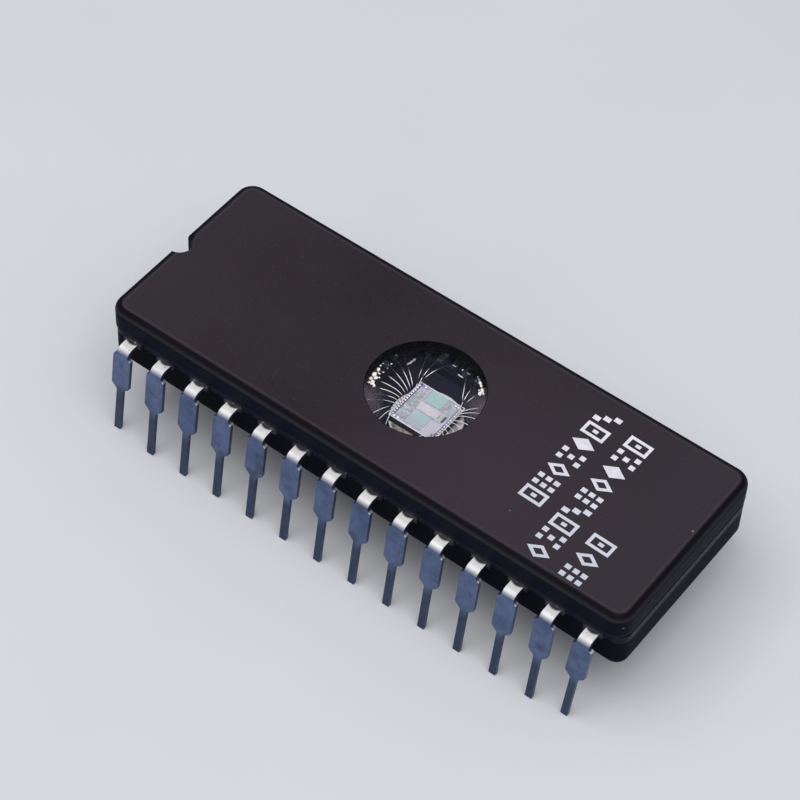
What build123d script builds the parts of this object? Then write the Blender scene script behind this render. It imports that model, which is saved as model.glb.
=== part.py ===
from build123d import *
from math import radians, cos, sin
import os

os.makedirs("parts", exist_ok=True)

# 28-lead ceramic package with a quartz-clear window over the die, millimetres.
# The origin lies in the plane of the lead tips, under the middle of the package.
# +X runs from the notched end to the plain end, +Y to the rear row, +Z up.

# Lead frame
lead_pitch = 2.54
leads_per_row = 14
metal_thickness = 0.25   # of the lead frame
neck_width = 0.82
neck_run = 0.75          # from the side of the base to where the bend starts
bend_radius = 0.25       # inside of the shoulder bend
splay = 7.0              # degrees that each row leans outwards
end_splay = 4.2          # degrees that the outermost leads of the front row, bent in, lean outwards
end_tip_shift = 0.3      # of the tips of those two leads towards the notched end
plate_width = 1.28
plate_length = 2.58
ear_chamfer = 0.12
taper_length = 0.4
tip_width = 0.45
tip_length = 3.5
finger_width = 0.46
finger_tip_width = 0.36
knee_depth = 0.85        # from the side of the base to where a finger turns to the cavity
finger_end_length = 0.35 # straight stretch of a finger before its tip
finger_end_extra = 0.3   # what each finger nearer the middle has more of it
finger_setback = 0.1     # from the cavity's edge to the finger tips
end_tips = 4             # finger tips of each quarter at the cavity's end, the rest at its side
end_tip_pitch = 0.75
side_tip_pitch = 0.9

# Ceramic body and seal
end_margin = 1.84         # from the outermost lead's middle to the end of the base
base_width = 12.7
base_thickness = 2.1
base_corner = 0.8
base_edge = 0.45          # rounding of the lower edge
seal_under_height = 0.15  # seal between the base and the lead frame
seal_over_height = 0.35   # seal between the lead frame and the cap
glass_edge = 0.2          # bevel of the seal's upper outer edge
cap_overhang_width = 0.28 # at each side of the base
cap_thickness = 1.65
cap_corner = 1.1
cap_edge = 0.5            # rounding of the upper edge
notch_radius = 0.75

# Glass that climbs on each lead
meniscus_width = 1.3
meniscus_reach = 0.31
meniscus_height = 0.3
meniscus_skin = 0.03
meniscus_shoulder = 0.1  # height of the fillet half-way out

# Window
window_diameter = 7.11
window_thickness = 1.1
window_recess = 0.05

# Cavity, die and wires
cavity_length = 6.6
cavity_width = 6.4
cavity_depth = 0.71
bond_shelf = 1.0         # width of the finger tips left bare round the cavity
cap_recess_depth = 0.4
die_length = 3.25
die_width = 3.15
die_thickness = 0.5
die_offset_x = 0.13
die_offset_y = 0.1
attach_offset_x = 0.24
attach_offset_y = -0.07
attach_diameter = 4.4
attach_thickness = 0.06
pad_pitch = 0.2
pad_inset = 0.13
wire_thickness = 0.035
wire_foot = 0.12         # flat stretch of a wire on its pad and on its finger
wire_rise = 0.4          # crest of a wire's arch over its chord
wire_spans = 3           # straight spans of a wire's arch
wire_landing = 0.3       # from a finger's tip to the foot of its wire

# Derived heights, from the tips up
outer_radius = bend_radius + metal_thickness
plate_run = plate_length + taper_length + tip_length
shoulder_drop = outer_radius - outer_radius * sin(radians(splay))
tip_corner_drop = metal_thickness * sin(radians(splay))
shoulder_top = shoulder_drop + plate_run * cos(radians(splay)) + tip_corner_drop
frame_bottom = shoulder_top - metal_thickness
base_top = frame_bottom - seal_under_height
base_bottom = base_top - base_thickness
cap_bottom = shoulder_top + seal_over_height
cap_top = cap_bottom + cap_thickness
cavity_floor = base_top - cavity_depth
die_bottom = cavity_floor + attach_thickness
die_top = die_bottom + die_thickness
window_top = cap_top - window_recess

# Derived plan sizes
row_span = (leads_per_row - 1) * lead_pitch
base_length = row_span + 2 * end_margin
cap_length = base_length
cap_width = base_width + 2 * cap_overhang_width
bend_centre_y = base_width / 2 + neck_run
recess_length = cavity_length + 2 * bond_shelf
recess_width = cavity_width + 2 * bond_shelf
leads_per_quarter = leads_per_row // 2


# The middle of a lead of the front row, counted from the notched end
def lead_x(index):
    return index * lead_pitch - row_span / 2


# Where the finger of a front lead ends at the cavity, the way back along it, and its straight stretch
def finger_tip(index):
    from_end = min(index, leads_per_row - 1 - index)
    side = 1 if index >= leads_per_quarter else -1
    if from_end < end_tips:
        x = side * (cavity_length / 2 + finger_setback)
        y = -(from_end + 0.5) * end_tip_pitch
        return Vector(x, y), Vector(side, 0), finger_end_length
    steps = leads_per_quarter - 1 - from_end
    x = side * (steps + 0.5) * side_tip_pitch
    y = -(cavity_width / 2 + finger_setback)
    straight = finger_end_length + (leads_per_quarter - end_tips - 1 - steps) * finger_end_extra
    return Vector(x, y), Vector(0, -1), straight


# Outline of a flat strip that follows a bent middle line with a width at each point
def ribbon(points, widths):
    left = []
    right = []
    for i, point in enumerate(points):
        before = (point - points[i - 1]).normalized() if i > 0 else None
        after = (points[i + 1] - point).normalized() if i + 1 < len(points) else None
        if i == 0:
            before = after
        if i + 1 == len(points):
            after = before
        way = (before + after).normalized()
        half_turn = radians(before.get_angle(after)) / 2
        across = Vector(-way.Y, way.X) * (widths[i] / 2 / cos(half_turn))
        left.append(point + across)
        right.append(point - across)
    return left + right[::-1]


# One lead of the front row: finger, neck, bend, plate, taper and tip, all of one strip
def front_lead(index, lean_angle, tip_shift):
    x = lead_x(index)
    tip, way_out, straight = finger_tip(index)
    knee = Vector(x, -(base_width / 2 - knee_depth))
    neck_end = Vector(x, -bend_centre_y)
    lead_in = tip + way_out * straight
    finger = ribbon([tip, lead_in, knee], [finger_tip_width, finger_tip_width, finger_width])
    lean = radians(lean_angle)
    bend_centre = Vector(-bend_centre_y, shoulder_top - outer_radius)
    toward_tip = Vector(-sin(lean), -cos(lean))
    face = Vector(-cos(lean), sin(lean))
    half_way = radians(90 + (90 - lean_angle) / 2)
    bisector = Vector(cos(half_way), sin(half_way))
    outer_start = bend_centre + face * outer_radius
    inner_start = bend_centre + face * bend_radius
    outer_mid = bend_centre + bisector * outer_radius
    inner_mid = bend_centre + bisector * bend_radius
    run_to_tip = (outer_start.Y - metal_thickness * sin(lean)) / cos(lean)
    outer_end = outer_start + toward_tip * run_to_tip
    inner_end = inner_start + toward_tip * run_to_tip
    plate_top = outer_start.Y
    plate_end = plate_top - plate_length * cos(lean)
    taper_end = plate_end - taper_length * cos(lean)
    below_tips = -metal_thickness

    def beside(offset, height):
        return x + offset - tip_shift * (plate_top - height) / plate_top, height

    with BuildPart() as lead:
        # Bent strip, seen from the side
        with BuildSketch(Plane.YZ.offset(x)):
            with BuildLine():
                Line((knee.Y, shoulder_top), (neck_end.Y, shoulder_top))
                ThreePointArc((neck_end.Y, shoulder_top), outer_mid, outer_start)
                Line(outer_start, outer_end)
                Line(outer_end, inner_end)
                Line(inner_end, inner_start)
                ThreePointArc(inner_start, inner_mid, (neck_end.Y, frame_bottom))
                Line((neck_end.Y, frame_bottom), (knee.Y, frame_bottom))
                Line((knee.Y, frame_bottom), (knee.Y, shoulder_top))
            make_face()
        extrude(amount=plate_width / 2 + tip_shift, both=True)
        # Outline seen from the front: neck, ears, plate, taper and tip
        with BuildSketch(Plane.XZ):
            with BuildLine():
                Polyline(
                    beside(-tip_width / 2, below_tips),
                    beside(tip_width / 2, below_tips),
                    beside(tip_width / 2, taper_end),
                    beside(plate_width / 2, plate_end),
                    beside(plate_width / 2, plate_top - ear_chamfer),
                    beside(plate_width / 2 - ear_chamfer, plate_top),
                    (x + neck_width / 2, plate_top),
                    (x + neck_width / 2, cap_top),
                    (x - neck_width / 2, cap_top),
                    (x - neck_width / 2, plate_top),
                    beside(-plate_width / 2 + ear_chamfer, plate_top),
                    beside(-plate_width / 2, plate_top - ear_chamfer),
                    beside(-plate_width / 2, plate_end),
                    beside(-tip_width / 2, taper_end),
                    close=True,
                )
            make_face()
        extrude(amount=base_width, mode=Mode.INTERSECT)
        # Finger that fans out to the cavity
        with BuildSketch(Plane.XY.offset(frame_bottom)):
            with BuildLine():
                Polyline(*[(point.X, point.Y) for point in finger], close=True)
            make_face()
        extrude(amount=metal_thickness)
    return lead.part


straight_row = [front_lead(index, splay, 0) for index in range(leads_per_row)]
leads = []
for index, shape in enumerate(straight_row):
    if index in (0, leads_per_row - 1):
        shape = front_lead(index, end_splay, end_tip_shift)
    leads.append((f"lead_{index + 1:02d}", shape))
for index, shape in enumerate(straight_row):
    leads.append((f"lead_{leads_per_row + index + 1:02d}", shape.rotate(Axis.Z, 180)))

for name, shape in leads:
    with BuildPart() as lead:
        add(shape)
    lead.part.label = name
    export_step(lead.part, f"parts/{name}.step")


# Base: pressed ceramic with rounded lower edge and the die cavity
with BuildPart() as base:
    with BuildSketch(Plane.XY.offset(base_bottom)):
        RectangleRounded(base_length, base_width, base_corner)
    extrude(amount=base_thickness)
    fillet(base.faces().sort_by(Axis.Z)[0].edges(), base_edge)
    with BuildSketch(Plane.XY.offset(base_top)):
        Rectangle(cavity_length, cavity_width)
    extrude(amount=-cavity_depth, mode=Mode.SUBTRACT)
base.part.label = "base"
export_step(base.part, "parts/base.step")


# Cap: rounded upper edge, end notch, window hole and a shallow recess over the finger tips
with BuildPart() as cap:
    with BuildSketch(Plane.XY.offset(cap_bottom)):
        RectangleRounded(cap_length, cap_width, cap_corner)
        with Locations((-cap_length / 2, 0)):
            Circle(notch_radius, mode=Mode.SUBTRACT)
    extrude(amount=cap_thickness)
    fillet(cap.faces().sort_by(Axis.Z)[-1].edges(), cap_edge)
    with BuildSketch(Plane.XY.offset(cap_bottom)):
        Rectangle(recess_length, recess_width)
    extrude(amount=cap_recess_depth, mode=Mode.SUBTRACT)
    with BuildSketch(Plane.XY.offset(cap_bottom)):
        Circle(window_diameter / 2)
    extrude(amount=cap_thickness, mode=Mode.SUBTRACT)
cap.part.label = "cap"
export_step(cap.part, "parts/cap.step")


# Window: clear disc fused into the hole
with BuildPart() as window:
    with BuildSketch(Plane.XY.offset(window_top - window_thickness)):
        Circle(window_diameter / 2)
    extrude(amount=window_thickness)
window.part.label = "window"
export_step(window.part, "parts/window.step")


# Seal: glass from the base to the cap that the leads lie in, with a fillet on each lead
with BuildPart() as seal_glass:
    with BuildSketch(Plane.XY.offset(base_top)):
        RectangleRounded(base_length, base_width, base_corner)
    extrude(amount=seal_under_height + metal_thickness + seal_over_height)
    chamfer(seal_glass.faces().sort_by(Axis.Z)[-1].edges(), glass_edge)
    with BuildSketch(Plane.XY.offset(base_top)):
        Rectangle(cavity_length + finger_setback, cavity_width + finger_setback)
    extrude(amount=seal_under_height, mode=Mode.SUBTRACT)
    with BuildSketch(Plane.XY.offset(frame_bottom)):
        Rectangle(recess_length, recess_width)
    extrude(amount=metal_thickness + seal_over_height, mode=Mode.SUBTRACT)
    for side in (-1, 1):
        root = base_width / 2 - glass_edge
        reach = base_width / 2 + meniscus_reach
        upper_root = Vector(side * root, shoulder_top + meniscus_height)
        upper_mid = Vector(side * (root + reach) / 2, shoulder_top + meniscus_shoulder)
        upper_end = Vector(side * reach, shoulder_top + meniscus_skin)
        lower_end = Vector(side * reach, frame_bottom - meniscus_skin)
        lower_root = Vector(side * root, base_top + meniscus_skin)
        for index in range(leads_per_row):
            with BuildSketch(Plane.YZ.offset(lead_x(index))):
                with BuildLine():
                    Polyline(upper_root, upper_mid, upper_end, lower_end, lower_root, close=True)
                make_face()
            extrude(amount=meniscus_width / 2, both=True)
    add([shape for name, shape in leads], mode=Mode.SUBTRACT)
seal_glass.part.label = "seal_glass"
export_step(seal_glass.part, "parts/seal_glass.step")


# Round pale disc that fixes the die to the cavity floor
with BuildPart() as die_attach:
    with BuildSketch(Plane.XY.offset(cavity_floor)):
        with Locations((attach_offset_x, attach_offset_y)):
            Circle(attach_diameter / 2)
    extrude(amount=attach_thickness)
die_attach.part.label = "die_attach"
export_step(die_attach.part, "parts/die_attach.step")


# Die
with BuildPart() as die:
    with BuildSketch(Plane.XY.offset(die_bottom)):
        with Locations((die_offset_x, die_offset_y)):
            Rectangle(die_length, die_width)
    extrude(amount=die_thickness)
die.part.label = "die"
export_step(die.part, "parts/die.step")


# Pads run along both ends of the die, one for each finger of that half, front to rear
def pad_places(side):
    places = []
    for step in range(leads_per_row):
        y = die_offset_y + (step - (leads_per_row - 1) / 2) * pad_pitch
        x = die_offset_x + side * (die_length / 2 - pad_inset)
        places.append(Vector(x, y))
    return places


# Finger tips of one half, front to rear, with the feet of the wires a little way out on them
def landing_places(side):
    front = []
    for index in range(leads_per_quarter):
        inner = leads_per_quarter - 1 - index
        tip, way_out = finger_tip(inner)[:2]
        foot = tip + way_out * wire_landing
        front.append(Vector(abs(foot.X) * side, foot.Y))
    rear = [Vector(place.X, -place.Y) for place in front]
    return front + rear[::-1]


# Bond wires of one half: each is flat on its pad, arches over and is flat again on its finger
def bond_wires(side, name):
    with BuildPart() as wires:
        for pad, landing in zip(pad_places(side), landing_places(side)):
            heading = (landing - pad).normalized()
            run = (landing - pad).length
            climb = shoulder_top - die_top
            points = [Vector(-wire_foot / 2, wire_thickness / 2)]
            for span in range(wire_spans + 1):
                share = span / wire_spans
                out = wire_foot / 2 + share * (run - wire_foot)
                arch = wire_rise * 4 * share * (1 - share)
                points.append(Vector(out, wire_thickness / 2 + share * climb + arch))
            points.append(Vector(run + wire_foot / 2, wire_thickness / 2 + climb))
            side_view = ribbon(points, [wire_thickness] * len(points))
            upright = Plane(
                origin=(pad.X, pad.Y, die_top), x_dir=(heading.X, heading.Y, 0), z_dir=(heading.Y, -heading.X, 0)
            )
            with BuildSketch(upright):
                with BuildLine():
                    Polyline(*[(point.X, point.Y) for point in side_view], close=True)
                make_face()
            extrude(amount=wire_thickness / 2, both=True)
    wires.part.label = name
    export_step(wires.part, f"parts/{name}.step")


bond_wires(-1, "bond_wires_left")
bond_wires(1, "bond_wires_right")
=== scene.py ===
import bpy
from math import pi, radians, sin
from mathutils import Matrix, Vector
from random import Random


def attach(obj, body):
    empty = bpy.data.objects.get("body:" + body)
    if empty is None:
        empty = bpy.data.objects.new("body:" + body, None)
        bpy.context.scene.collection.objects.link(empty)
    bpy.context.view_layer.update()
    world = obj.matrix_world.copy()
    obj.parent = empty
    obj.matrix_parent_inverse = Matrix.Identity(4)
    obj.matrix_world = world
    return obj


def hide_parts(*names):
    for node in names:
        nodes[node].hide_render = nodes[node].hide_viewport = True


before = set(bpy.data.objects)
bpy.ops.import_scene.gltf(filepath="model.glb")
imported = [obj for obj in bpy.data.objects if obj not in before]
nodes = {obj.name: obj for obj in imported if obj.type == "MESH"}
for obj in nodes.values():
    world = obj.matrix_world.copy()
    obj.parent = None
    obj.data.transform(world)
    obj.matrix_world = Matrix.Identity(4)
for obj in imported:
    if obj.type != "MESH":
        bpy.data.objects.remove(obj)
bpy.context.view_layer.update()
MM = 0.001


# Base. The real one is a slab of black pressed alumina, fired and left unglazed, with the die
# cavity sunk in its upper face. Its sides are smooth from the press and its lower edge is
# rounded.

def new_finish(name):
    finish = bpy.data.materials.new(name)
    finish.use_nodes = True
    tree = finish.node_tree
    shader = tree.nodes["Principled BSDF"]
    place = tree.nodes.new("ShaderNodeTexCoord").outputs["Object"]
    return finish, tree, shader, place


def mottle(tree, place, scale, detail=3.0, roughness=0.55, distortion=0.0):
    noise = tree.nodes.new("ShaderNodeTexNoise")
    noise.inputs["Scale"].default_value = scale
    noise.inputs["Detail"].default_value = detail
    noise.inputs["Roughness"].default_value = roughness
    noise.inputs["Distortion"].default_value = distortion
    tree.links.new(place, noise.inputs["Vector"])
    return noise.outputs["Fac"]


def spread(tree, value, low, high, out_low=0.0, out_high=1.0):
    ramp = tree.nodes.new("ShaderNodeMapRange")
    ramp.inputs["From Min"].default_value = low
    ramp.inputs["From Max"].default_value = high
    ramp.inputs["To Min"].default_value = out_low
    ramp.inputs["To Max"].default_value = out_high
    tree.links.new(value, ramp.inputs["Value"])
    return ramp.outputs["Result"]


def fade_out(tree, value, low, high):
    return spread(tree, value, low, high, 1.0, 0.0)


def worked(tree, kind, first, second=None):
    step = tree.nodes.new("ShaderNodeMath")
    step.operation = kind
    for socket, value in zip(step.inputs, (first, second)):
        if isinstance(value, (int, float)):
            socket.default_value = value
        elif value is not None:
            tree.links.new(value, socket)
    return step.outputs[0]


def times(tree, first, second):
    return worked(tree, "MULTIPLY", first, second)


def larger(tree, first, second):
    return worked(tree, "MAXIMUM", first, second)


def unsigned(tree, value):
    return worked(tree, "ABSOLUTE", value)


def tint(tree, mask, under, over):
    mix = tree.nodes.new("ShaderNodeMix")
    mix.data_type = "RGBA"
    colour_sockets = [socket for socket in mix.inputs if socket.type == "RGBA"]
    for socket, value in zip([mix.inputs["Factor"], *colour_sockets], (mask, under, over)):
        if isinstance(value, tuple):
            socket.default_value = (*value, 1.0)
        else:
            tree.links.new(value, socket)
    return [socket for socket in mix.outputs if socket.type == "RGBA"][0]


def relief(tree, shader, height, depth):
    bump = tree.nodes.new("ShaderNodeBump")
    bump.inputs["Strength"].default_value = 1.0
    bump.inputs["Distance"].default_value = depth
    tree.links.new(height, bump.inputs["Height"])
    tree.links.new(bump.outputs["Normal"], shader.inputs["Normal"])


def axes_of(tree, place):
    parts = tree.nodes.new("ShaderNodeSeparateXYZ")
    tree.links.new(place, parts.inputs[0])
    return parts.outputs[0], parts.outputs[1], parts.outputs[2]


def coat_with(obj, finish):
    for slot in obj.material_slots:
        slot.material = finish


pressed, tree, shader, place = new_finish("pressed_base_ceramic")
across, along, up = axes_of(tree, place)
cloud = mottle(tree, place, 260.0, 4.0)
grain = mottle(tree, place, 9000.0, 3.0)
clouded = spread(tree, cloud, 0.35, 0.65)
# near-black, tinted a little blue as a painted reflection
base_colour = tint(tree, clouded, (0.003, 0.004, 0.008), (0.006, 0.007, 0.013))
base_colour = tint(tree, spread(tree, grain, 0.66, 0.76), base_colour, (0.008, 0.009, 0.014))
from_middle = larger(tree, unsigned(tree, across), unsigned(tree, along))
in_cavity = fade_out(tree, from_middle, 4.0 * MM, 5.0 * MM)
in_cavity = times(tree, in_cavity, spread(tree, up, 5.0 * MM, 5.2 * MM))
base_colour = tint(tree, in_cavity, base_colour, (0.0128, 0.0110, 0.0232))
tree.links.new(base_colour, shader.inputs["Base Color"])
tree.links.new(spread(tree, cloud, 0.3, 0.7, 0.45, 0.58), shader.inputs["Roughness"])
shader.inputs["Specular IOR Level"].default_value = 0.02
relief(tree, shader, grain, 0.0007 * MM)
coat_with(nodes["base"], pressed)


# Die attach. The real die sits on a round pool of gold and silicon alloy that is melted on the
# cavity floor, so it is pale, uneven and wrinkled where it froze. Painted light lies on it:
# painted shade in front, where the die's shadow falls, painted light at its left and right, and a
# painted highlight along the front of its rim, where the pool is drawn up.

pool_middle = (0.24 * MM, -0.07 * MM)

gold, tree, shader, place = new_finish("gold_alloy_pool")
across, along = axes_of(tree, place)[:2]


def plus(tree, first, second):
    return worked(tree, "ADD", first, second)


def minus(tree, first, second):
    return worked(tree, "SUBTRACT", first, second)


def distance_from(tree, across, along, spot):
    side_x = worked(tree, "POWER", minus(tree, across, spot[0]), 2.0)
    side_y = worked(tree, "POWER", minus(tree, along, spot[1]), 2.0)
    return worked(tree, "SQRT", plus(tree, side_x, side_y))


pool = mottle(tree, place, 1500.0, 4.0, 0.6, 1.2)
wrinkle = mottle(tree, place, 3600.0, 3.0)
pool_colour = tint(tree, spread(tree, pool, 0.44, 0.58), (0.62, 0.52, 0.47), (0.15, 0.12, 0.11))
# painted shade: the pool is darker in front, where the die's shadow falls
painted_shade_front = spread(tree, along, -1.2 * MM, -1.9 * MM)
pool_colour = tint(tree, painted_shade_front, pool_colour, (0.15, 0.13, 0.125))
# painted light: the pool is paler at its left and right, where light through the window falls
painted_light_left = spread(tree, across, -1.1 * MM, -1.5 * MM)
pool_colour = tint(tree, painted_light_left, pool_colour, (0.68, 0.66, 0.69))
painted_light_right = spread(tree, across, 1.70 * MM, 1.90 * MM, 0.0, 0.45)
pool_colour = tint(tree, painted_light_right, pool_colour, (0.66, 0.58, 0.60))
cool_back = spread(tree, along, 1.60 * MM, 1.80 * MM)
pool_colour = tint(tree, cool_back, pool_colour, (0.50, 0.58, 0.58))
# painted highlight along the front of the pool's rim
rim = spread(tree, distance_from(tree, across, along, pool_middle), 2.06 * MM, 2.16 * MM)
painted_rim_highlight = times(tree, rim, spread(tree, along, -0.9 * MM, -1.2 * MM))
painted_rim_highlight = times(tree, painted_rim_highlight, spread(tree, pool, 0.40, 0.55, 0.3, 1.0))
pool_colour = tint(tree, painted_rim_highlight, pool_colour, (0.92, 0.84, 0.76))
tree.links.new(pool_colour, shader.inputs["Base Color"])
tree.links.new(spread(tree, wrinkle, 0.3, 0.7, 0.25, 0.5), shader.inputs["Roughness"])
shader.inputs["Metallic"].default_value = 0.25
relief(tree, shader, pool, 0.03 * MM)
coat_with(nodes["die_attach"], gold)


# Die. The real one is a sawn chip of polished silicon under clear oxide, which gives its fields
# their lavender and turquoise. A memory field lies on each side of a centre strip, logic stands
# round them, and two columns of bond pads run along its short edges.

# outer edges of the pattern, a little past the die's own sides, in mm like all its fields
pattern_left, pattern_right, pattern_front, pattern_back = -1.50, 1.76, -1.50, 1.70


def reach_of(name, axis):
    spots = [vertex.co[axis] for vertex in nodes[name].data.vertices]
    return min(spots), max(spots)


die_top = reach_of("die", 2)[1]

chip, tree, shader, place = new_finish("patterned_silicon")
across, along, up = axes_of(tree, place)


def within(tree, value, low, high, soft=0.006 * MM):
    return times(
        tree,
        spread(tree, value, low - soft, low + soft),
        fade_out(tree, value, high - soft, high + soft),
    )


def field(left, right, front, back):
    wide = within(tree, across, left * MM, right * MM)
    deep = within(tree, along, front * MM, back * MM)
    return times(tree, wide, deep)


def stripes(pitch, low, high):
    wave = worked(tree, "SINE", times(tree, across, 2 * pi / pitch))
    return spread(tree, wave, low, high)


logic = mottle(tree, place, 4200.0, 4.0, 0.65)
haze = mottle(tree, place, 900.0, 2.0)
cells = tree.nodes.new("ShaderNodeTexVoronoi")
cells.distance = "CHEBYCHEV"
cells.inputs["Scale"].default_value = 8000.0
tree.links.new(place, cells.inputs["Vector"])
blocks = spread(tree, cells.outputs["Color"], 0.40, 0.60)

# logic all over, with fine rows at the left and a busier patch among them
surface = tint(tree, spread(tree, haze, 0.35, 0.65), (0.40, 0.40, 0.47), (0.50, 0.50, 0.57))
surface = tint(tree, times(tree, blocks, 0.5), surface, (0.22, 0.22, 0.29))
dark_logic = times(tree, spread(tree, logic, 0.48, 0.56), 0.6)
surface = tint(tree, dark_logic, surface, (0.20, 0.22, 0.25))
fine_rows = times(tree, stripes(0.11 * MM, 0.2, 0.9), 0.45)
fine_rows = times(tree, fine_rows, field(-1.20, -0.52, -1.35, 1.55))
surface = tint(tree, fine_rows, surface, (0.17, 0.17, 0.22))
busy = times(tree, field(-1.16, -0.62, 0.10, 1.10), spread(tree, logic, 0.44, 0.52))
surface = tint(tree, busy, surface, (0.27, 0.30, 0.29))
surface = tint(tree, field(-0.66, -0.56, 0.80, 1.50), surface, (0.46, 0.36, 0.42))

# smooth rows at the front right
smooth = field(0.72, 1.45, -1.40, -0.22)
surface = tint(tree, smooth, surface, (0.46, 0.43, 0.51))
smooth_rows = times(tree, stripes(0.16 * MM, 0.3, 0.9), smooth)
surface = tint(tree, times(tree, smooth_rows, 0.4), surface, (0.30, 0.27, 0.36))

# the two memory fields, the front one paler at the left and ribbed along its front edge
borders = larger(tree, field(-0.56, 0.68, 0.60, 1.66), field(-0.56, 0.68, -1.31, -0.11))
surface = tint(tree, borders, surface, (0.27, 0.28, 0.33))
greener = spread(tree, along, 0.9 * MM, 1.6 * MM)
turquoise = tint(tree, greener, (0.29, 0.42, 0.43), (0.31, 0.44, 0.40))
surface = tint(tree, field(-0.50, 0.63, 0.66, 1.60), surface, turquoise)
memory_front = field(-0.50, 0.63, -1.25, -0.17)
surface = tint(tree, memory_front, surface, (0.29, 0.43, 0.45))
paler = times(tree, memory_front, spread(tree, across, 0.10 * MM, -0.45 * MM, 0.0, 0.7))
surface = tint(tree, paler, surface, (0.38, 0.43, 0.50))
slanted = plus(tree, along, times(tree, across, 0.15))
ribbed = times(tree, memory_front, fade_out(tree, slanted, -0.80 * MM, -0.52 * MM))
ribs = tint(tree, stripes(0.115 * MM, -0.3, 0.5), (0.25, 0.28, 0.31), (0.46, 0.46, 0.53))
surface = tint(tree, ribbed, surface, ribs)

# the centre strip between them
strip_colour = tint(tree, spread(tree, haze, 0.4, 0.62), (0.50, 0.46, 0.52), (0.48, 0.48, 0.54))
fleck = times(tree, spread(tree, logic, 0.46, 0.56), 0.5)
strip_colour = tint(tree, fleck, strip_colour, (0.50, 0.38, 0.42))
surface = tint(tree, field(-0.55, 0.85, -0.06, 0.54), surface, strip_colour)

plain_fields = (
    # left, right, front, back, colour
    (1.00, 1.20, -0.05, 0.48, (0.36, 0.42, 0.32)),
    (1.20, 1.36, -0.08, 0.46, (0.06, 0.065, 0.11)),
    (-1.45, -1.24, -1.24, 1.62, (0.045, 0.045, 0.10)),
    (1.50, 1.70, -1.24, 1.62, (0.12, 0.12, 0.19)),
    (-1.24, -0.80, 1.40, 1.62, (0.21, 0.20, 0.42)),
    (1.15, 1.45, 1.35, 1.56, (0.10, 0.10, 0.16)),
)
for left, right, front, back, colour in plain_fields:
    surface = tint(tree, field(left, right, front, back), surface, colour)

# pale bare edges on top and dark sawn sides below them
edge_ends = larger(
    tree,
    field(pattern_left, -1.45, pattern_front, pattern_back),
    field(1.70, pattern_right, pattern_front, pattern_back),
)
edge_sides = larger(
    tree,
    field(pattern_left, pattern_right, pattern_front, -1.41),
    field(pattern_left, pattern_right, 1.62, pattern_back),
)
surface = tint(tree, larger(tree, edge_ends, edge_sides), surface, (0.62, 0.62, 0.71))
sawn = fade_out(tree, up, die_top - 0.012 * MM, die_top - 0.004 * MM)
surface = tint(tree, sawn, surface, (0.025, 0.025, 0.035))
tree.links.new(surface, shader.inputs["Base Color"])
tree.links.new(spread(tree, sawn, 0.0, 1.0, 0.32, 0.55), shader.inputs["Roughness"])
shader.inputs["Specular IOR Level"].default_value = 0.3
relief(tree, shader, plus(tree, blocks, times(tree, logic, 2.0)), 0.0006 * MM)
coat_with(nodes["die"], chip)


# Bond pads. The real ones are squares of bare aluminium in the oxide along the two short edges,
# each dented by a probe, and a wire is welded on every one. They stand a little proud here.

def clear_choice():
    if bpy.context.object and bpy.context.object.mode != "OBJECT":
        bpy.ops.object.mode_set(mode="OBJECT")
    bpy.ops.object.select_all(action="DESELECT")


def join_all(parts, name):
    clear_choice()
    for part in parts:
        part.select_set(True)
    bpy.context.view_layer.objects.active = parts[0]
    if len(parts) > 1:
        bpy.ops.object.join()
    whole = bpy.context.object
    whole.name = name
    whole.data.name = name
    bpy.ops.object.transform_apply(location=True, rotation=True, scale=True)
    return whole


def copy_at(pattern, location, turn=0.0):
    twin = pattern.copy()
    twin.data = pattern.data.copy()
    twin.location = location
    twin.rotation_euler = (0.0, 0.0, turn)
    bpy.context.scene.collection.objects.link(twin)
    return twin


pad_size = 0.12 * MM
pad_height = 0.004 * MM
pad_rim = pad_size * 0.12
probe_dent = pad_height * 0.4
pad_inset = 0.13 * MM
pads_in_row = 14
pad_pitch = 0.2 * MM
die_ends, die_sides = reach_of("die", 0), reach_of("die", 1)
row_start = (sum(die_sides) - (pads_in_row - 1) * pad_pitch) / 2
pad_x = {-1: die_ends[0] + pad_inset, 1: die_ends[1] - pad_inset}
pad_y = [row_start + step * pad_pitch for step in range(pads_in_row)]
lone_pads = ((-1.18, -1.31), (-0.92, -1.31), (-0.98, 1.52), (1.22, 1.47), (1.40, 1.47))

clear_choice()
bpy.ops.mesh.primitive_plane_add(size=pad_size)
pad = bpy.context.object
bpy.ops.object.mode_set(mode="EDIT")
bpy.ops.mesh.inset(thickness=pad_rim)
bpy.ops.mesh.extrude_region_move(TRANSFORM_OT_translate={"value": (0, 0, -probe_dent)})
bpy.ops.mesh.select_all(action="SELECT")
bpy.ops.transform.translate(value=(0, 0, pad_height))
bpy.ops.object.mode_set(mode="OBJECT")
pads = [copy_at(pad, (pad_x[side], y, die_top)) for side in (-1, 1) for y in pad_y]
pads += [copy_at(pad, (x * MM, y * MM, die_top)) for x, y in lone_pads]
bpy.data.objects.remove(pad)
bond_pads = join_all(pads, "bond_pads")

aluminium, tree, shader, place = new_finish("bare_aluminium")
smear = mottle(tree, place, 9000.0, 3.0)
smeared = spread(tree, smear, 0.50, 0.70)
pad_colour = tint(tree, smeared, (0.93, 0.93, 0.95), (0.55, 0.54, 0.58))
tree.links.new(pad_colour, shader.inputs["Base Color"])
tree.links.new(spread(tree, smear, 0.35, 0.65, 0.35, 0.55), shader.inputs["Roughness"])
shader.inputs["Metallic"].default_value = 0.2
relief(tree, shader, smear, 0.001 * MM)
bond_pads.data.materials.append(aluminium)
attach(bond_pads, "root")


# Bond wires. The real ones are fine aluminium wire, welded down flat on a pad by a wedge tool,
# looped up and over and welded flat again on the tip of a finger. Each is one round wire, painted
# bright as a painted highlight where it runs free and on its pad, and painted dark as painted
# shade over the die and near its foot, where the cap's shadow falls.

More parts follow.
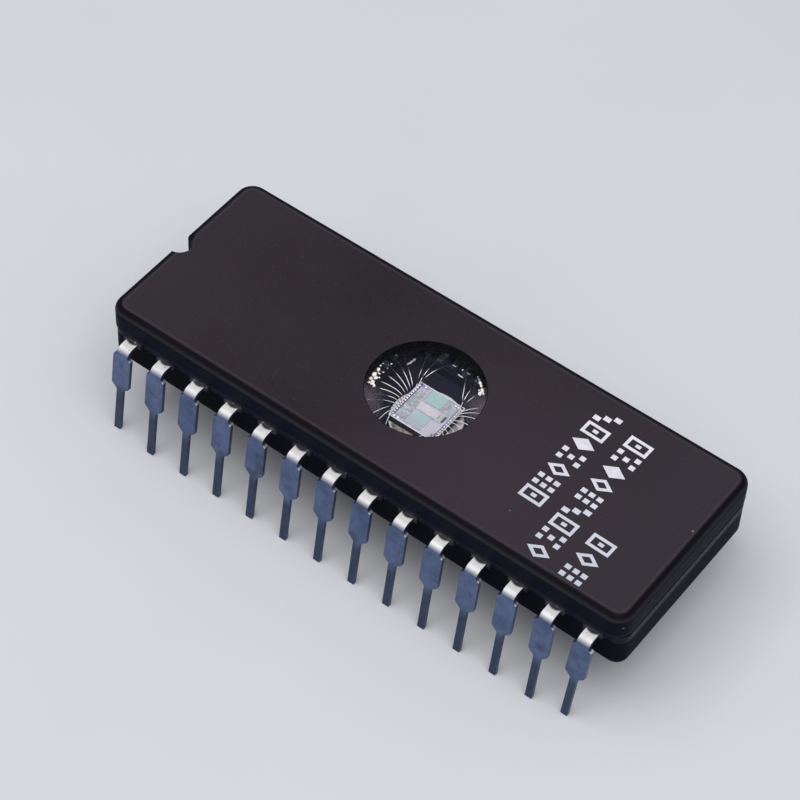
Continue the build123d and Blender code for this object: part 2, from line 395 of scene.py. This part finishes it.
wire_radius = 0.019 * MM
finger_top = reach_of("lead_01", 2)[1]
side_feet = (0.45, 1.35, 2.25)
side_feet_y = 3.6
end_feet = (2.625, 1.875, 1.125, 0.375)
end_feet_x = 3.7
weld_reach = 0.06 * MM
pad_grip = 0.05 * MM
pressed_in = wire_radius * 0.7
loop_rise = 0.42 * MM
rise_scatter = 0.05 * MM
loop_points = ((0.12, 0.95), (0.38, 1.25), (0.74, 0.78))  # shares of the run and of the rise


def feet_of(side):
    front = [(x * side * MM, -side_feet_y * MM) for x in side_feet]
    front += [(end_feet_x * side * MM, -y * MM) for y in end_feet]
    return front + [(x, -y) for x, y in front[::-1]]


def wire_loop(pad_spot, foot_spot, rise):
    run = Vector((foot_spot[0] - pad_spot[0], foot_spot[1] - pad_spot[1], 0.0))
    heading = run.normalized()
    start = Vector((*pad_spot, die_top + pad_height + pressed_in))
    end = Vector((*foot_spot, finger_top + pressed_in))
    route = [start - heading * weld_reach, start + heading * pad_grip]
    route += [start.lerp(end, part) + Vector((0, 0, rise * share)) for part, share in loop_points]
    route += [end - heading * weld_reach, end + heading * weld_reach]
    bpy.ops.curve.primitive_nurbs_path_add()
    path = bpy.context.object
    spline = path.data.splines[0]
    spline.points.add(len(route) - len(spline.points))
    for point, spot in zip(spline.points, route):
        point.co = (*spot, 1.0)
    spline.order_u = 3
    spline.use_endpoint_u = True
    spline.resolution_u = 4
    path.data.bevel_depth = wire_radius
    path.data.bevel_resolution = 1
    path.data.use_fill_caps = True
    bpy.ops.object.convert(target="MESH")
    return bpy.context.object


bright_wire, tree, shader, place = new_finish("drawn_aluminium_wire")
across, along = axes_of(tree, place)[:2]
draw_marks = mottle(tree, place, 6000.0, 2.0)
# painted light: the wire is painted bright off the die and inside a circle of light through the
# window, and painted dark as painted shade over the die and in the cap's shadow beyond it
past_end = larger(tree, minus(tree, die_ends[0], across), minus(tree, across, die_ends[1]))
past_side = larger(tree, minus(tree, die_sides[0], along), minus(tree, along, die_sides[1]))
off_die = spread(tree, larger(tree, past_end, past_side), 0.02 * MM, 0.16 * MM)
reach = distance_from(tree, across, along, (0.30 * MM, -0.60 * MM))
painted_light_and_marks = times(tree, off_die, fade_out(tree, reach, 3.05 * MM, 3.35 * MM))
# painted shade over the short wires at the front left
painted_shade_patch = times(
    tree,
    spread(tree, across, -1.90 * MM, -2.10 * MM),
    within(tree, along, -1.75 * MM, -0.72 * MM),
)
painted_light_and_marks = times(tree, painted_light_and_marks, fade_out(tree, painted_shade_patch, 0.0, 1.0))
painted_light_and_marks = times(tree, painted_light_and_marks, spread(tree, draw_marks, 0.25, 0.45, 0.75, 1.0))
# painted highlight on the wire where it lies on its pads
on_pad = larger(
    tree,
    within(tree, across, -1.43 * MM, -1.31 * MM),
    within(tree, across, 1.57 * MM, 1.69 * MM),
)
on_pad = times(tree, on_pad, within(tree, along, -1.40 * MM, 1.60 * MM))
painted_light_and_marks = larger(tree, painted_light_and_marks, on_pad)
wire_colour = tint(tree, painted_light_and_marks, (0.035, 0.035, 0.045), (0.97, 0.97, 0.98))
tree.links.new(wire_colour, shader.inputs["Base Color"])
tree.links.new(spread(tree, draw_marks, 0.3, 0.7, 0.30, 0.45), shader.inputs["Roughness"])
shader.inputs["Metallic"].default_value = 0.3
relief(tree, shader, draw_marks, 0.0008 * MM)

hand = Random(7)
for side, word in ((-1, "left"), (1, "right")):
    wires = []
    for y, foot in zip(pad_y, feet_of(side)):
        clear_choice()
        rise = loop_rise + hand.uniform(-rise_scatter, rise_scatter)
        wires.append(wire_loop((pad_x[side], y), foot, rise))
    loops = join_all(wires, "bond_wire_loops_" + word)
    bpy.ops.object.shade_smooth()
    loops.data.materials.clear()
    loops.data.materials.append(bright_wire)
    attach(loops, "root")
    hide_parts("bond_wires_" + word)


# Leads. The real ones are stamped from nickel-iron strip, bent down outside the seal and dipped
# in tin. The tin is smudged on the plates, with pits, and darker towards the blunt tips. Painted
# light lies on it: a painted white highlight over the bends, a painted blue-grey reflection on the
# plates and a painted glint on one ear. Inside the package the fingers stay bare, painted dark as
# painted shade.

lead_count = 28
lead_pitch = 2.54 * MM
half_pitch = lead_pitch / 2
neck_edge = 0.861 * MM
hollow_curve = 950.0  # how fast the glass at a root draws back from the lead's middle, per metre

tinned, tree, shader, place = new_finish("dipped_tin")
across, along, up = axes_of(tree, place)
dip = mottle(tree, place, 700.0, 3.0, 0.6, 0.4)
smudge = mottle(tree, place, 1500.0, 4.0, 0.6)
pit = mottle(tree, place, 6000.0, 2.0)
stain = mottle(tree, place, 420.0, 2.0)
from_gap = worked(tree, "PINGPONG", across, half_pitch)  # half_pitch at a lead's middle

# the plates, with smudges and stains, in a painted blue-grey reflection, darker towards the tips
tin_colour = tint(tree, spread(tree, dip, 0.35, 0.65), (0.078, 0.115, 0.22), (0.120, 0.165, 0.30))
smudged = times(tree, spread(tree, smudge, 0.52, 0.66), 0.45)
tin_colour = tint(tree, smudged, tin_colour, (0.06, 0.08, 0.14))
stained = times(tree, spread(tree, stain, 0.60, 0.68), 0.6)
tin_colour = tint(tree, stained, tin_colour, (0.05, 0.06, 0.09))
low_down = times(tree, fade_out(tree, up, 2.9 * MM, 3.7 * MM), 0.8)
tin_colour = tint(tree, low_down, tin_colour, (0.026, 0.040, 0.085))

# the bends painted white as a painted highlight, between dark flanks, with a hollow of seal glass
# at each root
on_face = spread(tree, from_gap, neck_edge, neck_edge + 0.007 * MM)
painted_bend_highlight = times(tree, spread(tree, up, 6.58 * MM, 6.87 * MM), on_face)
bend_highlight_colour = tint(tree, spread(tree, smudge, 0.35, 0.65), (0.97, 0.95, 0.94), (0.84, 0.81, 0.80))
tin_colour = tint(tree, painted_bend_highlight, tin_colour, bend_highlight_colour)
off_centre = minus(tree, half_pitch, from_gap)
hollow = times(tree, times(tree, off_centre, off_centre), hollow_curve)
glass_reach = plus(tree, unsigned(tree, along), hollow)
glazed = times(tree, painted_bend_highlight, fade_out(tree, glass_reach, 6.76 * MM, 6.90 * MM))
tin_colour = tint(tree, glazed, tin_colour, (0.030, 0.028, 0.032))

# a painted glint on one ear of each plate, and pits all over
right_edge = worked(tree, "FLOORED_MODULO", across, lead_pitch)
right_edge = spread(tree, right_edge, 1.78 * MM, 1.84 * MM)
painted_ear_glint = times(tree, right_edge, within(tree, up, 6.31 * MM, 6.55 * MM))
tin_colour = tint(tree, painted_ear_glint, tin_colour, (0.95, 0.95, 0.95))
tin_colour = tint(tree, spread(tree, pit, 0.70, 0.76), tin_colour, (0.06, 0.06, 0.08))

# the bare fingers inside, painted dark as painted shade under the cap
inside = fade_out(tree, unsigned(tree, along), 5.6 * MM, 6.1 * MM)
shaded_finger_colour = spread(tree, smudge, 0.4, 0.6)
shaded_finger_colour = tint(tree, shaded_finger_colour, (0.035, 0.035, 0.045), (0.10, 0.105, 0.125))
tin_colour = tint(tree, inside, tin_colour, shaded_finger_colour)
tree.links.new(tin_colour, shader.inputs["Base Color"])
satin_part = spread(tree, smudge, 0.35, 0.7, 0.30, 0.42)
satin_part = plus(tree, satin_part, times(tree, painted_bend_highlight, 0.2))
tree.links.new(satin_part, shader.inputs["Roughness"])
tree.links.new(spread(tree, painted_bend_highlight, 0.0, 1.0, 0.85, 0.15), shader.inputs["Metallic"])
relief(tree, shader, plus(tree, smudge, times(tree, pit, -0.5)), 0.006 * MM)
for number in range(1, lead_count + 1):
    coat_with(nodes["lead_%02d" % number], tinned)


# Seal. The real one is grey-black lead glass that is melted between base and cap. It is nearly
# black on its flanks, and smeared dull grey where it has crept up over each lead.

frit, tree, shader, place = new_finish("melted_seal_glass")
across, along = axes_of(tree, place)[:2]
flow = mottle(tree, place, 700.0, 2.0, 0.5)
bubble = mottle(tree, place, 4200.0, 3.0)
# near-black, tinted a little blue as a painted reflection
seal_colour = tint(tree, flow, (0.004, 0.005, 0.013), (0.009, 0.012, 0.024))
near_lead = worked(tree, "PINGPONG", across, half_pitch)
near_lead = spread(tree, near_lead, 0.40 * MM, 0.90 * MM)
crept = times(tree, near_lead, spread(tree, unsigned(tree, along), 6.15 * MM, 6.40 * MM))
crept = times(tree, crept, spread(tree, flow, 0.35, 0.6, 0.45, 1.0))
seal_colour = tint(tree, crept, seal_colour, (0.075, 0.068, 0.080))
burst = times(tree, crept, spread(tree, bubble, 0.62, 0.70))
seal_colour = tint(tree, burst, seal_colour, (0.34, 0.32, 0.33))
tree.links.new(seal_colour, shader.inputs["Base Color"])
tree.links.new(spread(tree, bubble, 0.35, 0.65, 0.30, 0.45), shader.inputs["Roughness"])
shader.inputs["Specular IOR Level"].default_value = 0.06
relief(tree, shader, plus(tree, flow, times(tree, bubble, 0.2)), 0.006 * MM)
coat_with(nodes["seal_glass"], frit)


# Cap. The real one is the same black alumina, pressed with a rounded upper edge and an end
# notch, and left satin brown-grey on top, and pale dust lies on it. On top lies a painted sheen,
# on its rounded edge painted shade with a painted highlight along each border, and its sides,
# notch and hole are painted dark as painted shade.

cap_half_length = reach_of("cap", 0)[1]
cap_half_width = reach_of("cap", 1)[1]
cap_corner = 1.1 * MM

satin, tree, shader, place = new_finish("satin_cap_ceramic")
across, along, up = axes_of(tree, place)
cloud = mottle(tree, place, 110.0, 4.0, 0.55)
grain = mottle(tree, place, 8000.0, 3.0)

# painted sheen: the top, browner in front of the window's right side and paler towards both ends
clouded = spread(tree, cloud, 0.35, 0.65)
cap_colour = tint(tree, clouded, (0.031, 0.0245, 0.030), (0.038, 0.031, 0.037))
painted_sheen_ends = unsigned(tree, plus(tree, across, 4.0 * MM))
painted_sheen_ends = spread(tree, painted_sheen_ends, 3.0 * MM, 20.0 * MM)
cap_colour = tint(tree, painted_sheen_ends, cap_colour, (0.044, 0.035, 0.044))
painted_sheen_spot = distance_from(tree, across, along, (6.0 * MM, -4.0 * MM))
painted_sheen_spot = spread(tree, painted_sheen_spot, 2.0 * MM, 10.0 * MM, 0.6, 0.0)
cap_colour = tint(tree, painted_sheen_spot, cap_colour, (0.056, 0.040, 0.055))
cap_colour = tint(tree, spread(tree, grain, 0.62, 0.72), cap_colour, (0.055, 0.050, 0.055))

# bands that follow the edge, all painted light: a painted highlight on the crest, painted shade on
# the rounding, a painted highlight at its foot, and the upright side painted darker and bluer than
# the top as painted shade and a painted blue reflection, lighter towards its foot
past_x = minus(tree, unsigned(tree, across), cap_half_length - cap_corner)
past_x = larger(tree, past_x, 0.0)
past_y = minus(tree, unsigned(tree, along), cap_half_width - cap_corner)
past_y = larger(tree, past_y, 0.0)
past_corner = plus(tree, times(tree, past_x, past_x), times(tree, past_y, past_y))
from_edge = minus(tree, cap_corner, worked(tree, "SQRT", past_corner))
painted_crest_highlight = times(tree, within(tree, from_edge, 0.47 * MM, 0.62 * MM, 0.05 * MM), 0.7)
cap_colour = tint(tree, painted_crest_highlight, cap_colour, (0.056, 0.048, 0.054))
painted_edge_shade = fade_out(tree, from_edge, 0.36 * MM, 0.50 * MM)
cap_colour = tint(tree, painted_edge_shade, cap_colour, (0.0065, 0.0055, 0.0085))
painted_foot_highlight = fade_out(tree, from_edge, 0.06 * MM, 0.20 * MM)
cap_colour = tint(tree, painted_foot_highlight, cap_colour, (0.026, 0.026, 0.030))
lower_half = spread(tree, up, 7.46 * MM, 7.32 * MM)
shaded_side_colour = tint(tree, lower_half, (0.003, 0.004, 0.012), (0.014, 0.015, 0.030))
upright = fade_out(tree, from_edge, 0.005 * MM, 0.04 * MM)
cap_colour = tint(tree, upright, cap_colour, shaded_side_colour)

# the walls of the notch and of the window's hole, painted dark as painted shade
from_notch = distance_from(tree, across, along, (-cap_half_length, 0.0))
in_notch = fade_out(tree, from_notch, 0.76 * MM, 0.79 * MM)
cap_colour = tint(tree, in_notch, cap_colour, (0.006, 0.006, 0.009))
from_middle = distance_from(tree, across, along, (0.0, 0.0))
in_hole = fade_out(tree, from_middle, 3.56 * MM, 3.60 * MM)
cap_colour = tint(tree, in_hole, cap_colour, (0.001, 0.001, 0.002))

dust = tree.nodes.new("ShaderNodeTexVoronoi")
dust.inputs["Scale"].default_value = 420.0
tree.links.new(place, dust.inputs["Vector"])
speck = fade_out(tree, dust.outputs["Distance"], 0.030, 0.050)
speck = times(tree, speck, spread(tree, mottle(tree, place, 190.0, 1.0), 0.53, 0.57))
cap_colour = tint(tree, times(tree, speck, 0.6), cap_colour, (0.40, 0.40, 0.42))
tree.links.new(cap_colour, shader.inputs["Base Color"])
tree.links.new(spread(tree, grain, 0.3, 0.7, 0.45, 0.60), shader.inputs["Roughness"])
shader.inputs["Specular IOR Level"].default_value = 0.035
relief(tree, shader, grain, 0.004 * MM)
coat_with(nodes["cap"], satin)


# Window. The real one is a ground disc of clear ultraviolet glass, fused flush into the cap, with
# two cloudy patches beside its rim. Its edge is painted black, as painted shade.

window_radius = reach_of("window", 0)[1]
shade_from = window_radius - 0.014 * MM
shade_full = window_radius - 0.009 * MM
patch_cos, patch_sin = 0.83, 0.56  # the patches lie on a line turned by 34 degrees
glass_ior = 1.46

clear, tree, shader, place = new_finish("clear_window")
across, along = axes_of(tree, place)[:2]
cloudy = mottle(tree, place, 500.0, 3.0)
sideways = plus(tree, times(tree, across, patch_cos), times(tree, along, patch_sin))
inward = plus(tree, times(tree, across, -patch_sin), times(tree, along, patch_cos))
patch = spread(tree, unsigned(tree, sideways), 2.3 * MM, 3.4 * MM)
patch = times(tree, patch, within(tree, inward, -2.3 * MM, -0.1 * MM, 0.6 * MM))
patch = times(tree, patch, spread(tree, cloudy, 0.25, 0.6, 0.3, 0.8))
from_middle = distance_from(tree, across, along, (0.0, 0.0))
# painted shade: the rim of the glass is painted black
painted_shade_rim = spread(tree, from_middle, shade_from, shade_full)
glass_colour = tint(tree, spread(tree, patch, 0.0, 0.3), (1.0, 1.0, 1.0), (0.86, 0.78, 0.90))
glass_colour = tint(tree, painted_shade_rim, glass_colour, (0.002, 0.002, 0.003))
tree.links.new(glass_colour, shader.inputs["Base Color"])
lets_through = minus(tree, spread(tree, patch, 0.0, 0.6, 1.0, 0.920), painted_shade_rim)
tree.links.new(spread(tree, lets_through, 0.0, 1.0), shader.inputs["Transmission Weight"])
tree.links.new(spread(tree, cloudy, 0.55, 0.8, 0.0, 0.04), shader.inputs["Roughness"])
shader.inputs["IOR"].default_value = glass_ior
shader.inputs["Specular Tint"].default_value = (0.22, 0.22, 0.27, 1.0)
relief(tree, shader, cloudy, 0.0002 * MM)

# the edge is painted dead black as painted shade, and light passes the clear glass without a
# shadow
painted_black_edge = tree.nodes.new("ShaderNodeBsdfDiffuse")
painted_black_edge.inputs["Color"].default_value = (0.002, 0.002, 0.004, 1.0)
open_way = tree.nodes.new("ShaderNodeBsdfTransparent")
shadow_ray = tree.nodes.new("ShaderNodeLightPath").outputs["Is Shadow Ray"]
at_edge = tree.nodes.new("ShaderNodeMixShader")
passing = tree.nodes.new("ShaderNodeMixShader")
tree.links.new(painted_shade_rim, at_edge.inputs[0])
tree.links.new(shader.outputs[0], at_edge.inputs[1])
tree.links.new(painted_black_edge.outputs[0], at_edge.inputs[2])
tree.links.new(shadow_ray, passing.inputs[0])
tree.links.new(at_edge.outputs[0], passing.inputs[1])
tree.links.new(open_way.outputs[0], passing.inputs[2])
tree.links.new(passing.outputs[0], tree.nodes["Material Output"].inputs["Surface"])
coat_with(nodes["window"], clear)


# Stray glass. In the real one, drops of frothy glass hang round the lower rim of the window where
# it was fused in, and small runs of it froze on the finger tips and cavity edges. They are lumpy
# and glossy, and painted white as painted glints, the lower ones greyer as dimmer glints.

drop_places = (
    # middle x, y, z, length, width, turn in degrees
    (-3.43, 0.27, 7.67, 0.14, 0.12, 80), (-3.36, -0.02, 7.64, 0.28, 0.20, 95),
    (-3.33, -0.45, 7.61, 0.40, 0.30, 100), (-3.10, -0.62, 7.63, 0.30, 0.22, 60),
    (-3.30, -0.83, 7.63, 0.28, 0.22, 100), (-3.06, -1.00, 7.61, 0.42, 0.28, 120),
    (-2.84, -1.14, 7.64, 0.28, 0.18, 130), (-3.20, -1.12, 7.65, 0.20, 0.15, 110),
    (-3.10, -0.28, 7.68, 0.13, 0.10, 20), (-2.93, -0.50, 7.68, 0.12, 0.10, 20),
    (-3.22, -0.22, 7.68, 0.12, 0.08, 70), (-3.40, 0.47, 7.69, 0.08, 0.06, 70),
    (1.86, 2.86, 7.63, 0.28, 0.20, -30), (2.04, 2.72, 7.64, 0.20, 0.17, -40),
    (2.27, 2.52, 7.62, 0.34, 0.24, -40), (2.45, 2.33, 7.64, 0.24, 0.17, -45),
    (2.32, 2.22, 7.63, 0.32, 0.24, -50), (1.68, 3.00, 7.67, 0.13, 0.10, -25),
    (1.50, 3.10, 7.68, 0.08, 0.07, -20), (2.14, 2.35, 7.68, 0.13, 0.10, -50),
    (-3.58, 1.96, 6.95, 0.22, 0.11, 60), (-3.36, 1.25, 6.95, 0.13, 0.10, 30),
    (-3.46, 1.08, 6.94, 0.10, 0.08, 30), (-3.34, 0.86, 6.94, 0.12, 0.06, 70),
    (-3.34, 0.46, 6.95, 0.13, 0.10, 30), (-3.02, 2.58, 6.02, 0.38, 0.11, 75),
    (-2.96, 2.80, 6.04, 0.30, 0.12, 72), (-2.93, 2.97, 6.05, 0.24, 0.16, 85),
    (-2.97, 2.66, 6.03, 0.12, 0.15, 60), (0.24, 3.23, 6.68, 0.40, 0.08, 0),
    (0.10, 3.24, 6.69, 0.16, 0.09, 0), (0.17, 3.50, 6.95, 0.14, 0.08, 60),
    (-0.42, 3.46, 6.93, 0.30, 0.05, 5), (0.60, 3.50, 6.93, 0.30, 0.05, 5),
)
ball_radius = 0.5 * MM  # a ball 1 mm across, so a drop's scale is its size in mm
lumpiness = 0.06 * MM
height_to_width = 0.75

drops = []
for number, (x, y, z, length, width, turn) in enumerate(drop_places):
    clear_choice()
    bpy.ops.mesh.primitive_uv_sphere_add(
        segments=10, ring_count=6, radius=ball_radius, location=(x * MM, y * MM, z * MM)
    )
    drop = bpy.context.object
    drop.rotation_euler = (0.0, 0.0, radians(turn))
    bpy.ops.object.mode_set(mode="EDIT")
    bpy.ops.mesh.select_all(action="SELECT")
    bpy.ops.transform.vertex_random(offset=lumpiness, uniform=0.6, seed=number)
    bpy.ops.object.mode_set(mode="OBJECT")
    drop.scale = (length, width, width * height_to_width)
    drops.append(drop)
stray = join_all(drops, "stray_glass_drops")
bpy.ops.object.shade_smooth()

froth, tree, shader, place = new_finish("frothy_glass_painted_glints")
up = axes_of(tree, place)[2]
lump = mottle(tree, place, 5200.0, 3.0, 0.6)
amber = spread(tree, lump, 0.50, 0.66)
# painted glints: the drops are painted white
painted_glint_colour = tint(tree, amber, (1.0, 0.97, 0.93), (0.62, 0.42, 0.30))
# the lower drops are painted greyer, as dimmer painted glints
low_ones = times(tree, fade_out(tree, up, 7.2 * MM, 7.4 * MM), 0.3)
painted_glint_colour = tint(tree, low_ones, painted_glint_colour, (0.42, 0.46, 0.52))
tree.links.new(painted_glint_colour, shader.inputs["Base Color"])
tree.links.new(spread(tree, lump, 0.3, 0.7, 0.08, 0.25), shader.inputs["Roughness"])
relief(tree, shader, lump, 0.02 * MM)
stray.data.materials.append(froth)
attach(stray, "root")


# Printed marks. Real marks are a thin coat of white ink, pressed on by a pad and baked hard. Here
# they are three rows of plain squares, diamonds and steps. The ink is whitest at the back and
# thinner and bluer towards the front edge.

mark_height = 1.55 * MM
mark_width = 0.95 * MM
mark_stroke = 0.20 * MM
ink_thickness = 0.008 * MM
cap_top = reach_of("cap", 2)[1]
print_slant = radians(-1.3)


def filled_mark(turn):
    clear_choice()
    bpy.ops.mesh.primitive_circle_add(vertices=4, radius=mark_height / 2, fill_type="NGON")
    mark = bpy.context.object
    bpy.ops.object.mode_set(mode="EDIT")
    bpy.ops.mesh.select_all(action="SELECT")
    bpy.ops.transform.rotate(value=turn, orient_axis="Z", center_override=(0, 0, 0))
    bpy.ops.object.mode_set(mode="OBJECT")
    reach_x = max(abs(v.co.x) for v in mark.data.vertices)
    reach_y = max(abs(v.co.y) for v in mark.data.vertices)
    fit = (mark_height / 2 / reach_x, mark_width / 2 / reach_y, 1.0)
    bpy.ops.object.mode_set(mode="EDIT")
    bpy.ops.transform.resize(value=fit, center_override=(0, 0, 0))
    bpy.ops.object.mode_set(mode="OBJECT")
    return mark


def framed_mark(turn):
    mark = filled_mark(turn)
    bpy.ops.object.mode_set(mode="EDIT")
    bpy.ops.mesh.inset(thickness=mark_stroke)
    bpy.ops.mesh.delete(type="FACE")
    bpy.ops.object.mode_set(mode="OBJECT")
    return mark


def block(x_size, y_size, x, y):
    clear_choice()
    bpy.ops.mesh.primitive_plane_add(size=1.0)
    tile = bpy.context.object
    bpy.ops.object.mode_set(mode="EDIT")
    bpy.ops.transform.resize(value=(x_size * MM, y_size * MM, 1.0), center_override=(0, 0, 0))
    bpy.ops.transform.translate(value=(x * MM, y * MM, 0))
    bpy.ops.object.mode_set(mode="OBJECT")
    return tile


def blocks_mark(name, x_size, y_size, places):
    return join_all([block(x_size, y_size, x, y) for x, y in places], name)


tile_places = [(x, y) for x in (-0.54, 0.0, 0.54) for y in (-0.28, 0.28)]
chequer_places = ((-0.60, -0.30), (-0.60, 0.30), (0.0, 0.0), (0.60, -0.30), (0.60, 0.30))
stair_places = ((-0.54, -0.30), (0.0, 0.0), (0.54, 0.30))
shapes = {
    "frame": join_all([framed_mark(radians(45)), block(0.34, 0.24, 0.0, 0.0)], "frame"),
    "gem": framed_mark(0.0),
    "diamond": filled_mark(0.0),
    "tiles": blocks_mark("tiles", 0.36, 0.32, tile_places),
    "chequer": blocks_mark("chequer", 0.35, 0.33, chequer_places),
    "stair": blocks_mark("stair", 0.44, 0.34, stair_places),
}
mark_rows = (
    # x and y of the first mark, pitch, marks
    (9.33, -2.39, 1.178, "frame tiles gem chequer diamond frame stair"),
    (11.78, -5.39, 1.188, "gem chequer frame stair tiles gem diamond chequer frame"),
    (14.20, -5.51, 1.310, "tiles gem frame"),
)
marks = []
for x, y, pitch, names in mark_rows:
    for step, name in enumerate(names.split()):
        shift = step * pitch * sin(-print_slant)
        spot = ((x + shift) * MM, (y + step * pitch) * MM, cap_top + ink_thickness)
        marks.append(copy_at(shapes[name], spot, print_slant))
for shape in shapes.values():
    bpy.data.objects.remove(shape)
printed = join_all(marks, "printed_marks")
bpy.ops.object.mode_set(mode="EDIT")
bpy.ops.mesh.select_all(action="SELECT")
bpy.ops.mesh.normals_make_consistent(inside=False)
bpy.ops.object.mode_set(mode="OBJECT")
ink_body = printed.modifiers.new("ink", "SOLIDIFY")
ink_body.thickness = ink_thickness
ink_body.offset = -1.0
clear_choice()
printed.select_set(True)
bpy.context.view_layer.objects.active = printed
bpy.ops.object.modifier_apply(modifier=ink_body.name)

ink, tree, shader, place = new_finish("white_marking_ink")
along = axes_of(tree, place)[1]
coverage = mottle(tree, place, 3200.0, 4.0, 0.65)
whiter = spread(tree, along, -5.8 * MM, 4.6 * MM)
ink_colour = tint(tree, whiter, (0.63, 0.68, 0.76), (0.95, 0.92, 0.97))
thin_spots = times(tree, spread(tree, coverage, 0.40, 0.60), 0.4)
ink_colour = tint(tree, thin_spots, ink_colour, (0.55, 0.57, 0.63))
pinholes = spread(tree, coverage, 0.68, 0.76)
ink_colour = tint(tree, pinholes, ink_colour, (0.12, 0.11, 0.13))
tree.links.new(ink_colour, shader.inputs["Base Color"])
tree.links.new(spread(tree, coverage, 0.3, 0.7, 0.5, 0.75), shader.inputs["Roughness"])
relief(tree, shader, coverage, 0.004 * MM)
printed.data.materials.append(ink)
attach(printed, "root")


# Floor, light and camera: a pale table, a wide soft lamp overhead and the camera of the
# photograph.

clear_choice()
bpy.ops.mesh.primitive_plane_add(size=3.0, location=(0, 0, -0.02 * MM))
floor = bpy.context.object
floor.name = "floor"
table, tree, shader, place = new_finish("pale_table")
table_cloud = mottle(tree, place, 60.0, 3.0)
table_colour = tint(tree, table_cloud, (0.74, 0.75, 0.77), (0.78, 0.79, 0.81))
tree.links.new(table_colour, shader.inputs["Base Color"])
shader.inputs["Roughness"].default_value = 0.9
shader.inputs["Specular IOR Level"].default_value = 0.1
floor.data.materials.append(table)

room = bpy.data.worlds.new("soft_room")
bpy.context.scene.world = room
room.use_nodes = True
room_light = room.node_tree.nodes["Background"]
room_light.inputs["Color"].default_value = (0.90, 0.93, 1.0, 1.0)
room_light.inputs["Strength"].default_value = 0.38

lamp_place = Vector((0.03, -0.09, 0.34))
bpy.ops.object.light_add(type="AREA", location=lamp_place)
lamp = bpy.context.object
lamp.name = "overhead_box"
lamp.data.shape = "RECTANGLE"
lamp.data.size = 0.44
lamp.data.size_y = 0.30
lamp.data.energy = 0.95
lamp.rotation_euler = (-lamp_place).to_track_quat("-Z", "Y").to_euler()

bpy.ops.object.camera_add(
    location=(0.058470, -0.087172, 0.136081),
    rotation=(radians(39.226), radians(-2.0416), radians(37.131)),
)
eye = bpy.context.object
eye.name = "photo_view"
eye.data.sensor_width = 36.0
eye.data.lens = 129.185
eye.data.clip_start = 0.005
eye.data.clip_end = 20.0
bpy.context.scene.camera = eye
bpy.context.scene.view_settings.view_transform = "Standard"
